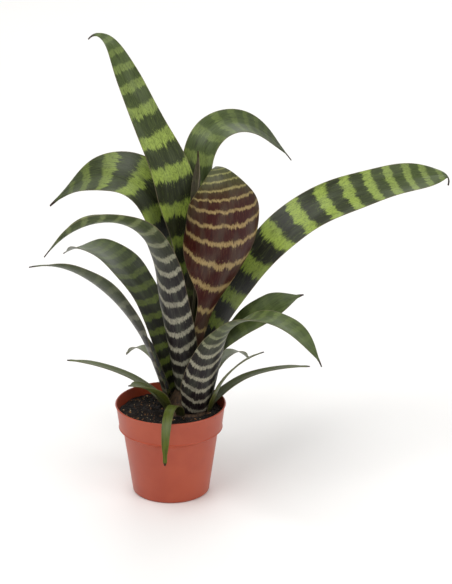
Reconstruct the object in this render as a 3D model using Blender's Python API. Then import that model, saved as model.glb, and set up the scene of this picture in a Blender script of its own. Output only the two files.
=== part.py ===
"""A young flaming sword bromeliad growing in a terracotta-coloured nursery pot.

Metres, +Z up. The origin is the middle of the pot's underside, where the pot stands.
-Y is the plant's front. Each leaf is one thin solid, held at its foot by the short stem.
"""

from dataclasses import dataclass

import bmesh
import bpy
import numpy as np

MM = 0.001

# Clearance left between solids that touch on the real plant.
SEAT_GAP = 0.3 * MM

# Nursery pot, 9 cm across its collar.
POT_HEIGHT = 76 * MM
POT_FOOT_RADIUS = 30 * MM
POT_SHOULDER_RADIUS = 38.6 * MM
POT_COLLAR_RADIUS = 41.8 * MM
POT_RIM_RADIUS = 45 * MM
COLLAR_HEIGHT = 21 * MM
POT_WALL = 1.3 * MM
POT_FLOOR = 2.6 * MM
POT_SIDES = 48
DRAIN_HOLES = 6
DRAIN_RING_RADIUS = 17.5 * MM
DRAIN_HOLE_RADIUS = 3.2 * MM
DRAIN_TURN = 0.31

# Potting mix.
SOIL_LEVEL = 68 * MM
SOIL_RINGS = 9
SOIL_LUMP = 0.6 * MM

# Short stem that carries the leaves. It stands a little off the pot's middle.
STEM_X = 14 * MM
STEM_Y = 7 * MM
STEM_FOOT_RADIUS = 19.6 * MM
STEM_TOP_RADIUS = 2.6 * MM
STEM_RISE = 30 * MM
STEM_DEPTH = 36 * MM
STEM_SIDES = 32

# Leaves. A sheath ring is the circle round the stem on which a leaf's foot sits.
INNER_RING = 3.7 * MM
RING_PITCH = 1.25 * MM
BLADE_THICKNESS = 0.9 * MM
FOOT_WIDTH = 0.75
EDGE_THIN = 0.28
TIP_HALF_WIDTH = 0.5 * MM
SPIKE_HALF_WIDTH = 1.7 * MM
SPIKE_SHARE = 0.035
TAPER_SHARE = 0.78
LEAF_STATIONS = 22
LEAF_STRIPS = 6
SHORT_LEAF = 130
SHORT_LEAF_STATIONS = 14
SHORT_LEAF_STRIPS = 4
MIDRIB_STEPS = 400


@dataclass
class Leaf:
    """One leaf. Sizes are millimetres and angles are degrees."""

    name: str
    ring: float  # how many sheath rings lie inside this one
    turn: float  # where the leaf stands round the stem, from the front towards +X
    length: float
    lean: tuple  # from upright, at even steps from foot to tip
    widths: tuple  # half the width, at even steps from foot to tip
    free: tuple  # where the leaf lets go of the rosette's round form, as shares
    hollow: float = 34.0  # radius of the blade's cross-section
    swing: float = 0.0  # how far the tip turns sideways
    roll: tuple = (0.0,)  # turn of the blade about its own line, at even steps
    wave: float = 0.0  # height of the waves along the blade's edges
    point: float = 2.2  # a low number gives a pointed end, a high one a round end
    droop: float = 0.0  # how far the dry tip hangs beyond the blade's own bend


LEAVES = [
    Leaf("leaf_heart", 0, 118, 190, (1, 3, 4, 3, 0, -3), (8, 9, 9, 9, 8, 7), (0.3, 0.6), hollow=5.6,
         point=2.2),
    Leaf("leaf_tall", 1, -132, 314, (2, 3, 3, 3, 3, 12, 33, 33, 34, 44, 140),
         (12, 12, 13, 15, 18, 19, 16, 13, 10.5, 8.5, 7), (0.27, 0.5), roll=(0, 0, -8, -24, -30, -30),
         wave=0.5),
    Leaf("leaf_back_right", 2, 158, 304, (4, 5, 5, 5, 5, 6, 16, 74, 112, 132, 144),
         (13, 13, 15, 16, 17, 16, 15, 15, 14, 12, 9), (0.22, 0.5), swing=-36,
         roll=(0, 0, 0, 0, 0, 0, 6, 20, 32, 34, 30), wave=0.5),
    Leaf("leaf_cup", 3, 66, 206, (5, 8, 12, 18, 20, 14, 4, -6, -16, -54, -125),
         (12, 12, 13, 15, 18, 31, 43, 45, 33, 20, 11), (0.22, 0.44), hollow=29, swing=-56,
         roll=(0, 0, -16, -28, -18, -6)),
    Leaf("leaf_back_left", 4, -112, 262, (4, 5, 6, 7, 8, 12, 30, 76, 108, 128, 138),
         (19, 18, 16, 17, 20, 24, 27, 25, 18, 11, 6), (0.2, 0.45), hollow=40,
         roll=(0, 0, 0, -14, -34, -34), wave=0.7),
    Leaf("leaf_left_arch", 5, -36, 258, (8, 10, 15, 46, 88, 138), (19, 18.5, 16, 17, 17, 14),
         (0.24, 0.46), hollow=24, swing=-24, roll=(0, 0, 0, 16, 46), wave=0.6, point=3.5),
    Leaf("leaf_long_right", 6, 112, 308, (9, 28, 42, 71, 84, 96),
         (20, 20, 18, 17, 17, 18, 18, 17.5, 16.5, 15, 13), (0.12, 0.34), hollow=48,
         roll=(0, 0, 24, 34, 30, 22), wave=0.7, point=4, droop=100),
    Leaf("leaf_back_low_left", 8, -140, 200, (12, 30, 50, 72, 98, 126), (18, 17, 15, 18, 16, 9),
         (0.15, 0.4), hollow=26, wave=0.4),
    Leaf("leaf_low_right", 9, 92, 126, (10, 16, 38, 52, 60, 76), (15, 14, 12, 14, 12.5, 6), (0.2, 0.45),
         hollow=26, roll=(0, 0, 10, 28, 36, 36), wave=0.3, point=1.8),
    Leaf("leaf_back_low_right", 10, 158, 190, (14, 32, 54, 78, 104, 132), (17, 16, 14, 16, 14, 8),
         (0.15, 0.4), hollow=24, wave=0.4),
    Leaf("leaf_left_low", 11, -92, 176, (14, 20, 30, 46, 68, 104), (17, 16, 14, 16, 14, 8), (0.15, 0.4),
         hollow=26, roll=(0, 10, 30, 30, 10), wave=0.4),
    Leaf("leaf_low_front_right", 12, 32, 204, (10, 18, 42, 66, 108, 156), (21, 18, 12.5, 13, 12, 8),
         (0.18, 0.42), hollow=24, swing=30, wave=0.4),
    Leaf("leaf_foot_mid", 13, 66, 78, (14, 22, 34, 44, 54, 66), (7, 6, 5.5, 5, 4, 2), (0.15, 0.45),
         hollow=14),
    Leaf("leaf_foot_right", 13, 112, 90, (42, 60, 72, 78, 82, 88), (8, 6, 5.5, 4.5, 3.5, 2),
         (0.15, 0.45), hollow=14, swing=-32),
    Leaf("leaf_foot_front", 13, -17, 84, (24, 58, 96, 130, 150, 162), (5, 4.5, 4.2, 4, 3, 1.8),
         (0.15, 0.45), hollow=12, swing=16),
    Leaf("leaf_foot_short", 13, -52, 54, (22, 32, 46, 56, 66, 78), (7, 9, 11, 11, 8, 4), (0.15, 0.45),
         hollow=16),
    Leaf("leaf_foot_left", 13, -102, 90, (30, 54, 66, 72, 78, 88), (8, 6, 5.5, 5, 4, 2), (0.15, 0.45),
         hollow=14, swing=12),
    Leaf("leaf_foot_back_left", 13, -150, 100, (20, 54, 76, 94, 116, 136), (9, 7, 7, 6.5, 5, 3),
         (0.15, 0.45), hollow=14),
    Leaf("leaf_foot_back_right", 13, 150, 95, (20, 54, 78, 96, 118, 136), (9, 7, 7, 6.5, 5, 3),
         (0.15, 0.45), hollow=14),
]


def clear_scene():
    """Removes whatever the startup scene holds."""
    for obj in list(bpy.data.objects):
        bpy.data.objects.remove(obj, do_unlink=True)


def material(name, colour, roughness):
    """A plain coloured finish."""
    made = bpy.data.materials.new(name)
    made.use_nodes = True
    shader = made.node_tree.nodes["Principled BSDF"]
    shader.inputs["Base Color"].default_value = (*colour, 1.0)
    shader.inputs["Roughness"].default_value = roughness
    shader.inputs["Metallic"].default_value = 0.0
    return made


def solid(name, points, faces, finish):
    """A mesh object from points and faces that already face out."""
    mesh = bpy.data.meshes.new(name)
    mesh.from_pydata([tuple(p) for p in points], [], faces)
    mesh.validate()
    mesh.materials.append(finish)
    obj = bpy.data.objects.new(name, mesh)
    bpy.context.scene.collection.objects.link(obj)
    return obj


def turned(name, profile, sides, finish, centre=(0.0, 0.0)):
    """A solid turned round an upright axis. The profile runs from the axis at the bottom, up the outside,
    and back to the axis, so its first and last points are the two poles."""
    angles = np.arange(sides) * 2 * np.pi / sides
    points = [(centre[0], centre[1], profile[0][1])]
    for radius, height in profile[1:-1]:
        points += [(centre[0] + radius * np.cos(a), centre[1] + radius * np.sin(a), height) for a in angles]
    points.append((centre[0], centre[1], profile[-1][1]))
    rings = len(profile) - 2
    faces = []
    for i in range(sides):
        j = (i + 1) % sides
        faces.append((0, 1 + j, 1 + i))
        for ring in range(rings - 1):
            low, high = 1 + ring * sides, 1 + (ring + 1) * sides
            faces.append((low + i, low + j, high + j, high + i))
        last = 1 + (rings - 1) * sides
        faces.append((last + i, last + j, len(points) - 1))
    return solid(name, points, faces, finish)


def cut(obj, cutter):
    """Cuts one object from another and leaves the cutter out of the model."""
    cutter.hide_render = True
    cutter.display_type = "WIRE"
    modifier = obj.modifiers.new("cut_" + cutter.name, "BOOLEAN")
    modifier.operation = "DIFFERENCE"
    modifier.solver = "EXACT"
    modifier.object = cutter


def smooth_shaded(obj, sharp_deg=35):
    """Round pieces shaded smooth, with their crisp edges kept."""
    obj.data.shade_smooth()
    obj.data.set_sharp_from_angle(angle=np.radians(sharp_deg))


def collar_foot():
    """Height at which the pot's collar begins."""
    return POT_HEIGHT - COLLAR_HEIGHT


def pot_profile():
    """The pot's section: underside, wall, collar and rim outside, then down the inside to the floor."""
    boss = 12 * MM
    recess = 1.2 * MM
    step = 1.2 * MM
    lip = 1.6 * MM
    bead = 0.5 * MM
    shoulder = collar_foot()
    return [
        (0, 0),
        (boss, 0),
        (boss + recess, recess),
        (POT_FOOT_RADIUS - 8 * MM, recess),
        (POT_FOOT_RADIUS - 7 * MM, 0),
        (POT_FOOT_RADIUS, 0),
        (POT_FOOT_RADIUS + step, step),
        (POT_SHOULDER_RADIUS, shoulder - 2 * step),
        (POT_COLLAR_RADIUS - bead, shoulder),
        (POT_COLLAR_RADIUS + bead, shoulder + bead),
        (POT_COLLAR_RADIUS, shoulder + 3 * bead),
        (POT_RIM_RADIUS - lip / 2, POT_HEIGHT - lip),
        (POT_RIM_RADIUS, POT_HEIGHT - lip / 2),
        (POT_RIM_RADIUS - bead, POT_HEIGHT),
        (POT_RIM_RADIUS - POT_WALL, POT_HEIGHT - bead),
        (POT_COLLAR_RADIUS - POT_WALL, shoulder + step),
        (POT_SHOULDER_RADIUS - POT_WALL, shoulder - step),
        (POT_FOOT_RADIUS + step - POT_WALL, POT_FLOOR + step),
        (POT_FOOT_RADIUS - POT_WALL, POT_FLOOR),
        (0, POT_FLOOR),
    ]


def make_pot(finish):
    """A thin turned shell with drain holes through its floor."""
    pot = turned("pot", pot_profile(), POT_SIDES, finish)
    for hole in range(DRAIN_HOLES):
        angle = 2 * np.pi * (hole + DRAIN_TURN) / DRAIN_HOLES
        centre = (DRAIN_RING_RADIUS * np.cos(angle), DRAIN_RING_RADIUS * np.sin(angle))
        top = 2 * POT_FLOOR
        profile = [(0, -MM), (DRAIN_HOLE_RADIUS, -MM), (DRAIN_HOLE_RADIUS, top), (0, top)]
        cut(pot, turned(f"drain_cutter_{hole}", profile, 16, finish, centre))
    smooth_shaded(pot)
    return pot


def soil_height(x, y):
    """The uneven top of the potting mix, from a few crossing waves."""
    waves = np.sin(x / (3.1 * MM) + 1.0) * np.sin(y / (3.7 * MM)) + 0.6 * np.sin((x + y) / (5.3 * MM) + 2.0)
    return SOIL_LEVEL + SOIL_LUMP * waves


def inner_wall_radius(height):
    """Radius of the pot's inside at a height."""
    inside = [(r, z) for r, z in pot_profile()[14:19]]
    radii, heights = zip(*reversed(inside))
    return float(np.interp(height, heights, radii))


def make_soil(finish):
    """Fills the pot up to its uneven top, with a plain hole where the stem stands."""
    shoulder = collar_foot()
    wall = [POT_FLOOR + SEAT_GAP, POT_FLOOR + 2 * MM, shoulder - 2 * MM, shoulder + 2 * MM]
    profile = [(0, wall[0])]
    profile += [(inner_wall_radius(z) - 2 * SEAT_GAP, z) for z in wall]
    edge = inner_wall_radius(SOIL_LEVEL - 2 * SOIL_LUMP) - 2 * SEAT_GAP
    profile += [(edge * (1 - ring / SOIL_RINGS), SOIL_LEVEL) for ring in range(SOIL_RINGS)]
    profile.append((0, SOIL_LEVEL))
    soil = turned("soil", profile, POT_SIDES, finish)
    for vertex in soil.data.vertices:
        if vertex.co.z >= SOIL_LEVEL - 1e-6:
            vertex.co.z = float(soil_height(vertex.co.x, vertex.co.y))
    hole = turned("stem_hole", stem_profile(SEAT_GAP, 30 * MM), STEM_SIDES, finish, (STEM_X, STEM_Y))
    cut(soil, hole)
    smooth_shaded(soil, 60)
    return soil


def stem_profile(grow=0.0, raised=0.0):
    """The stem's section. With grow and raised it is the hole that the stem stands in."""
    top = SOIL_LEVEL + STEM_RISE
    below = [
        (0, SOIL_LEVEL - STEM_DEPTH - grow),
        (5 * MM + grow, SOIL_LEVEL - STEM_DEPTH + 2 * MM - grow),
        (8 * MM + grow, SOIL_LEVEL - 22 * MM - grow),
        (STEM_FOOT_RADIUS - 2 * MM + grow, SOIL_LEVEL - 9 * MM - grow),
        (STEM_FOOT_RADIUS + grow, SOIL_LEVEL - 3 * MM),
    ]
    if raised:
        return below + [(STEM_FOOT_RADIUS + grow, top + raised), (0, top + raised)]
    return below + [(STEM_FOOT_RADIUS, SOIL_LEVEL), (STEM_TOP_RADIUS, top), (0, top + MM)]


def make_stem(finish):
    """The short cone under the leaves, with its root end in the soil."""
    stem = turned("stem", stem_profile(), STEM_SIDES, finish, (STEM_X, STEM_Y))
    smooth_shaded(stem)
    return stem


def even_steps(values, share):
    """A smooth run through values that stand at even steps from 0 to 1, read at each share."""
    values = np.asarray(values, float)
    if len(values) == 1:
        return np.full_like(share, values[0])
    slopes = np.gradient(values)
    place = np.clip(share, 0, 1) * (len(values) - 1)
    low = np.minimum(place.astype(int), len(values) - 2)
    t = place - low
    a, b = values[low], values[low + 1]
    return (
        (2 * t**3 - 3 * t**2 + 1) * a
        + (t**3 - 2 * t**2 + t) * slopes[low]
        + (3 * t**2 - 2 * t**3) * b
        + (t**3 - t**2) * slopes[low + 1]
    )


def ease(start, end, share):
    """0 before start, 1 after end, and a smooth climb between."""
    t = np.clip((share - start) / (end - start), 0, 1)
    return t * t * (3 - 2 * t)


def half_width(leaf, share):
    """Half the leaf's width along its length, closing to a short dry tip."""
    width = even_steps(leaf.widths, share) * (FOOT_WIDTH + (1 - FOOT_WIDTH) * ease(0, 0.15, share))
    past = np.clip((share - TAPER_SHARE) / (1 - SPIKE_SHARE / 2 - TAPER_SHARE), 0, 1)
    width = width * (1 - past**leaf.point) * MM
    spike = TIP_HALF_WIDTH + (SPIKE_HALF_WIDTH - TIP_HALF_WIDTH) * np.clip((1 - share) / SPIKE_SHARE, 0, 1)
    return np.maximum(width, spike)


def ring_radius(leaf):
    """Distance from the stem's axis to the middle of the leaf's foot."""
    return INNER_RING + leaf.ring * RING_PITCH


def foot_height(leaf):
    """Height at which the leaf's foot meets the stem's cone."""
    inside = ring_radius(leaf) - BLADE_THICKNESS / 2 - SEAT_GAP
    share = (STEM_FOOT_RADIUS - inside) / (STEM_FOOT_RADIUS - STEM_TOP_RADIUS)
    return SOIL_LEVEL + STEM_RISE * np.clip(share, 0.05, 1)


def heading(turn):
    """Unit vector away from the stem at this turn from the front, towards +X."""
    return np.stack([np.sin(turn), -np.cos(turn), np.zeros_like(turn)], -1)


def midrib(leaf, share):
    """Points on the leaf's middle line, measured from the stem's axis, with its lean and turn there."""
    steps = np.linspace(0, 1, MIDRIB_STEPS)
    lean = np.radians(even_steps(leaf.lean, steps) + leaf.droop * ease(1 - SPIKE_SHARE * 1.4, 1, steps))
    turn = np.radians(leaf.turn + leaf.swing * ease(leaf.free[0], 1.0, steps))
    along = heading(turn) * np.sin(lean)[:, None]
    along[:, 2] = np.cos(lean)
    stride = leaf.length * MM / (MIDRIB_STEPS - 1)
    run = np.vstack([np.zeros(3), np.cumsum((along[1:] + along[:-1]) / 2 * stride, axis=0)])
    start = heading(turn[0]) * ring_radius(leaf) + np.array([0, 0, foot_height(leaf)])
    line = start + run
    points = np.stack([np.interp(share, steps, line[:, k]) for k in range(3)], -1)
    return points, np.interp(share, steps, lean), np.interp(share, steps, turn)


def leaf_surface(leaf, share, across):
    """The leaf's middle surface: a row of points for each share and a column for each place across."""
    line, lean, turn = midrib(leaf, share)
    width = half_width(leaf, share)
    out = heading(turn)
    side = np.stack([np.cos(turn), np.sin(turn), np.zeros_like(turn)], -1)
    up = np.array([0.0, 0.0, 1.0])
    inward = np.sin(lean)[:, None] * up - np.cos(lean)[:, None] * out
    roll = np.radians(even_steps(leaf.roll, share))[:, None]
    rolled_side = np.cos(roll) * side + np.sin(roll) * inward
    rolled_in = np.cos(roll) * inward - np.sin(roll) * side

    from_axis = np.hypot(line[:, 0], line[:, 1])
    place = np.arctan2(line[:, 0], -line[:, 1])
    angle = place[:, None] + width[:, None] * across[None, :] / from_axis[:, None]
    round_stem = np.stack(
        [from_axis[:, None] * np.sin(angle), -from_axis[:, None] * np.cos(angle),
         np.repeat(line[:, 2:3], len(across), 1)], -1
    )

    hollow = leaf.hollow * MM
    bend = width[:, None] * across[None, :] / hollow
    wave = leaf.wave * MM * ease(leaf.free[0], leaf.free[1], share)[:, None]
    wave = wave * np.sin(9 * np.pi * share[:, None] + 2.4 * across[None, :]) * np.abs(across[None, :]) ** 3
    own = (
        line[:, None, :]
        + (hollow * np.sin(bend))[..., None] * rolled_side[:, None, :]
        + (hollow * (1 - np.cos(bend)) + wave)[..., None] * rolled_in[:, None, :]
    )
    loose = ease(leaf.free[0], leaf.free[1], share)[:, None, None]
    grid = round_stem * (1 - loose) + own * loose
    return grid + np.array([STEM_X, STEM_Y, 0.0])


def surface_normals(grid):
    """Unit normals of a grid of points, on the side that faces the stem."""
    along = np.gradient(grid, axis=0)
    over = np.gradient(grid, axis=1)
    normal = np.cross(along, over)
    return normal / np.linalg.norm(normal, axis=-1, keepdims=True)


def thin_shell(name, grid, across, finish):
    """A closed thin solid round a grid, with the same triangles on both of its faces."""
    rows, columns = grid.shape[:2]
    thick = BLADE_THICKNESS * (1 - EDGE_THIN * across**2)
    lift = surface_normals(grid) * (thick / 2)[None, :, None]
    points = np.vstack([(grid + lift).reshape(-1, 3), (grid - lift).reshape(-1, 3)])
    under = rows * columns
    faces = []
    for i in range(rows - 1):
        for j in range(columns - 1):
            a, b = i * columns + j, i * columns + j + 1
            c, d = a + columns, b + columns
            faces += [(a, c, d), (a, d, b)]
            faces += [(under + a, under + d, under + c), (under + a, under + b, under + d)]
        for j, flip in ((0, False), (columns - 1, True)):
            a, c = i * columns + j, (i + 1) * columns + j
            quad = (a, under + a, under + c, c)
            faces.append(quad[::-1] if flip else quad)
    for i, flip in ((0, True), (rows - 1, False)):
        for j in range(columns - 1):
            a, b = i * columns + j, i * columns + j + 1
            quad = (a, under + a, under + b, b)
            faces.append(quad[::-1] if not flip else quad)
    return solid(name, points, faces, finish)


def stations(count):
    """Shares along a leaf, closer together towards the tip."""
    even = np.linspace(0, 1, count)
    return even + 0.07 * np.sin(np.pi * even)


def make_leaf(leaf, finish):
    """One leaf as a thin solid, its foot on the stem."""
    short = leaf.length < SHORT_LEAF
    rows = SHORT_LEAF_STATIONS if short else LEAF_STATIONS
    strips = SHORT_LEAF_STRIPS if short else LEAF_STRIPS
    across = np.linspace(-1, 1, strips + 1)
    grid = leaf_surface(leaf, stations(rows), across)
    obj = thin_shell(leaf.name, grid, across, finish)
    mesh = bmesh.new()
    mesh.from_mesh(obj.data)
    bmesh.ops.recalc_face_normals(mesh, faces=mesh.faces)
    mesh.to_mesh(obj.data)
    mesh.free()
    obj.data.shade_smooth()
    return obj


def main():
    clear_scene()
    terracotta = material("terracotta_plastic", (0.55, 0.13, 0.06), 0.5)
    peat = material("potting_mix", (0.02, 0.013, 0.01), 0.95)
    wood = material("stem_tissue", (0.16, 0.12, 0.07), 0.8)
    banded = material("banded_leaf", (0.07, 0.09, 0.04), 0.4)
    cupped = material("maroon_leaf", (0.10, 0.03, 0.03), 0.45)
    green = material("green_leaf", (0.10, 0.22, 0.03), 0.4)
    make_pot(terracotta)
    make_soil(peat)
    make_stem(wood)
    for leaf in LEAVES:
        if leaf.name == "leaf_cup":
            finish = cupped
        elif leaf.name.startswith("leaf_foot"):
            finish = green
        else:
            finish = banded
        make_leaf(leaf, finish)


main()
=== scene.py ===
# %% [markdown]
# # A young flaming sword bromeliad in its nursery pot
#
# The real object is a living rosette. Banded strap leaves stand in a tube of nested sheaths on a very short
# stem, and the stem stands in dark potting mix in a small plastic pot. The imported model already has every
# leaf at its place and size. This lesson swaps each plain solid for a finer one of the same form, and then
# gives each surface its colour, veins and gloss.

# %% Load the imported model
import math
from dataclasses import dataclass

import bmesh
import bpy
import numpy as np
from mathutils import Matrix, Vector


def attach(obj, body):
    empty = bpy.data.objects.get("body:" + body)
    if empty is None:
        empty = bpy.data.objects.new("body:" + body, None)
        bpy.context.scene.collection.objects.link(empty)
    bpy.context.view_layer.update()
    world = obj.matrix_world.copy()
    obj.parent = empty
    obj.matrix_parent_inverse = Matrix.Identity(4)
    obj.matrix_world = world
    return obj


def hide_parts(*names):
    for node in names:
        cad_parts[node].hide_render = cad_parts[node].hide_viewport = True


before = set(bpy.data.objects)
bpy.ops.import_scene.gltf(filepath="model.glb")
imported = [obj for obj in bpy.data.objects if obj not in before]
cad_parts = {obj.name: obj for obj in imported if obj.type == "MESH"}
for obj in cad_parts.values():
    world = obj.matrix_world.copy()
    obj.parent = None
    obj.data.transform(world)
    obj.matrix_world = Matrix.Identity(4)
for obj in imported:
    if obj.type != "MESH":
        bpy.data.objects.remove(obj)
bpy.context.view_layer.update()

MM = 0.001

# %% [markdown]
# ## The camera
#
# The photograph looks down on the plant from about 21 degrees, from some way off. A camera could be moved by
# eye until the view fits. Here its place follows from one angle, one distance and one point to look at, so
# the view can be corrected one number at a time and is the same in every run. The lens is long because a
# far camera gives the flat perspective of the photograph. The camera comes first, so every later step can
# be looked at.

# %% Camera
VIEW_ELEVATION = math.radians(21)
VIEW_DISTANCE = 2.6
VIEW_TARGET = Vector((0.045, 0.0, 0.172))
FRAME_HEIGHT = 0.468
SENSOR_HEIGHT = 36
VIEW_LIMIT = 20


def add_object(name, data):
    """An object in the scene for this data, at the origin."""
    made = bpy.data.objects.new(name, data)
    bpy.context.scene.collection.objects.link(made)
    return made


camera_data = bpy.data.cameras.new("view_camera")
camera = add_object("view_camera", camera_data)
towards_camera = Vector((0, -math.cos(VIEW_ELEVATION), math.sin(VIEW_ELEVATION)))
camera.location = VIEW_TARGET + towards_camera * VIEW_DISTANCE
camera.rotation_euler = (-towards_camera).to_track_quat("-Z", "Y").to_euler()
camera_data.sensor_fit = "VERTICAL"
camera_data.sensor_height = SENSOR_HEIGHT
camera_data.lens = camera_data.sensor_height * VIEW_DISTANCE / FRAME_HEIGHT
camera_data.clip_end = VIEW_LIMIT
bpy.context.scene.camera = camera
print("lens in mm:", round(camera_data.lens, 1))

# %% [markdown]
# ## The light
#
# Soft light in a studio comes from large sources. A picture of a real studio round the scene could give it,
# but a few panels are easier to steer. One big panel above and a little to the left makes the pale sheen on
# the arching leaves, a weaker one on the right opens the shadows, one behind lights the edges, and a white
# world fills the rest.

# %% Light panels
PLANT_MIDDLE = (0.02, 0.0, 0.18)


def area_light(name, place, size, power):
    """A square panel of light that faces the plant."""
    data = bpy.data.lights.new(name, "AREA")
    data.size = size
    data.energy = power
    lamp = add_object(name, data)
    lamp.location = place
    lamp.rotation_euler = (Vector(PLANT_MIDDLE) - Vector(place)).to_track_quat("-Z", "Y").to_euler()


area_light("key_panel", (-0.5, -0.5, 1.9), 1.2, 22)
area_light("right_panel", (1.5, -0.9, 0.9), 1.0, 6)
area_light("back_panel", (0.2, 1.7, 1.3), 1.4, 10)
print("light panels:", len(bpy.data.lights))

# %% World
WORLD_STRENGTH = 0.62

world = bpy.data.worlds.new("studio_white")
bpy.context.scene.world = world
world.use_nodes = True
surround = world.node_tree.nodes["Background"]
surround.inputs["Color"].default_value = (1.0, 1.0, 1.0, 1.0)
surround.inputs["Strength"].default_value = WORLD_STRENGTH
bpy.context.scene.view_settings.view_transform = "Standard"
print("world strength:", WORLD_STRENGTH)

# %% [markdown]
# ## A helper for node graphs
#
# A procedural material is a graph of nodes, and so is a Geometry Nodes tree. Both could be clicked together
# in their editors. In a script, a short helper that makes a node, sets its values and joins its inputs keeps
# each graph readable as a recipe. An input takes a number, a colour, another node, or one of its outputs.

# %% Node helper
COLUMN_STEP = 260
COLUMNS = 9


class Graph:
    """A graph under construction. Each call adds one node."""

    def __init__(self, tree):
        self.tree = tree
        self.count = 0

    def node(self, kind, inputs=(), **settings):
        made = self.tree.nodes.new(kind)
        made.location = (-COLUMN_STEP * (self.count % COLUMNS + 1), -COLUMN_STEP * (self.count // COLUMNS))
        self.count += 1
        for key, value in settings.items():
            setattr(made, key, value)
        for socket, value in dict(inputs).items():
            self.plug(made.inputs[socket], value)
        return made

    def plug(self, socket, value):
        if isinstance(value, bpy.types.Node):
            value = value.outputs[0]
        if isinstance(value, bpy.types.NodeSocket):
            self.tree.links.new(value, socket)
        else:
            socket.default_value = value

    def math(self, operation, a, b=0.0, clamp=False):
        return self.node("ShaderNodeMath", {0: a, 1: b}, operation=operation, use_clamp=clamp).outputs[0]

    def times(self, *factors):
        """The product of all factors."""
        product, *others = factors
        for factor in others:
            product = self.math("MULTIPLY", product, factor)
        return product

    def join(self, x, y, z):
        """One vector from three numbers."""
        return self.node("ShaderNodeCombineXYZ", {"X": x, "Y": y, "Z": z}).outputs[0]


# %% Material helper
class Recipe(Graph):
    """A material under construction."""

    def __init__(self, name):
        self.material = bpy.data.materials.new(name)
        self.material.use_nodes = True
        super().__init__(self.material.node_tree)
        self.shader = self.tree.nodes["Principled BSDF"]

    def attribute(self, name):
        """A number that is stored on the mesh's points."""
        return self.node("ShaderNodeAttribute", attribute_name=name).outputs["Fac"]

    def place(self):
        """The point's place on its own object, so that a pattern moves with the piece."""
        return self.node("ShaderNodeTexCoord").outputs["Object"]

    def mix(self, share, low, high):
        """A colour between low and high."""
        made = self.node("ShaderNodeMix", {0: share}, data_type="RGBA")
        for socket, value in zip((s for s in made.inputs if s.type == "RGBA"), (low, high)):
            self.plug(socket, value)
        return next(s for s in made.outputs if s.type == "RGBA")

    def between(self, value, low, high, start=0.0, end=1.0):
        """The value moved from one range to another with soft ends."""
        settings = dict(enumerate((value, low, high, start, end)))
        return self.node("ShaderNodeMapRange", settings, interpolation_type="SMOOTHSTEP").outputs[0]

    def noise(self, vector, scale, detail=3.0, roughness=0.55):
        settings = {"Vector": vector, "Scale": scale, "Detail": detail, "Roughness": roughness}
        return self.node("ShaderNodeTexNoise", settings).outputs[0]

    def bump(self, height, strength, distance):
        """Small relief for light alone, which leaves the outline as it is."""
        return self.node("ShaderNodeBump", {"Height": height, "Strength": strength, "Distance": distance})

    def finish(self, **sockets):
        """Joins the recipe to the shader and gives the material back."""
        for socket, value in sockets.items():
            self.plug(self.shader.inputs[socket.replace("_", " ")], value)
        print("finish:", self.material.name, "nodes:", len(self.tree.nodes))
        return self.material


def rgb(code):
    """A colour as a screen shows it, turned into the linear values that a shader wants."""
    parts = [int(code[k:k + 2], 16) / 255 for k in (0, 2, 4)]
    return tuple(p / 12.92 if p <= 0.04045 else ((p + 0.055) / 1.055) ** 2.4 for p in parts) + (1.0,)


print("screen grey 808080 in linear values:", round(rgb("808080")[0], 3))

# %% [markdown]
# ## The floor
#
# The floor is only there to catch the shadow. It could be one flat white, but a real sheet of studio paper
# is never quite even, so a faint cloud of tone runs through it. Unlike the plant's pieces, it is not
# attached to a body, which keeps it out of the part.

# %% Floor
FLOOR_REACH = 4

floor_paint = Recipe("floor_paint")
floor_tone = floor_paint.noise(floor_paint.place(), 3.0)
floor_colour = floor_paint.mix(floor_tone, rgb("f2f0ee"), rgb("f7f6f4"))
floor_mesh = bpy.data.meshes.new("studio_floor")
corners = [(FLOOR_REACH * x, FLOOR_REACH * y, 0) for x, y in ((-1, -1), (1, -1), (1, 1), (-1, 1))]
floor_mesh.from_pydata(corners, [], [(0, 1, 2, 3)])
floor_mesh.materials.append(floor_paint.finish(Base_Color=floor_colour, Roughness=0.6))
floor = add_object("studio_floor", floor_mesh)

# %% [markdown]
# ## How a leaf is described
#
# A bromeliad's leaves all grow in the same way: each is a strap that starts as a sheath round the stem and
# bends over as it gets longer and heavier. They could be drawn one by one as curves and lofted by hand.
# Since one rule fits them all, each leaf is instead one line of sizes: how long it is, how it leans and how
# wide it is at even steps from foot to tip, and how hollow the blade is. A leaf is corrected by changing
# one number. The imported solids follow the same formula, so the fine surface lies exactly where the solid
# lies, and only the number of points differs.

# %% Leaf sizes
@dataclass
class Leaf:
    """One leaf. Sizes are millimetres and angles are degrees."""

    name: str
    ring: float  # how many sheath rings lie inside this one
    turn: float  # where the leaf stands round the stem, from the front towards +X
    length: float
    lean: tuple  # from upright, at even steps from foot to tip
    widths: tuple  # half the width, at even steps from foot to tip
    free: tuple  # where the leaf lets go of the rosette's round form, as shares
    hollow: float = 34.0  # radius of the blade's cross-section
    swing: float = 0.0  # how far the tip turns sideways
    roll: tuple = (0.0,)  # turn of the blade about its own line, at even steps
    wave: float = 0.0  # height of the waves along the blade's edges
    point: float = 2.2  # a low number gives a pointed end, a high one a round end
    droop: float = 0.0  # how far the dry tip hangs beyond the blade's own bend


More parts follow.
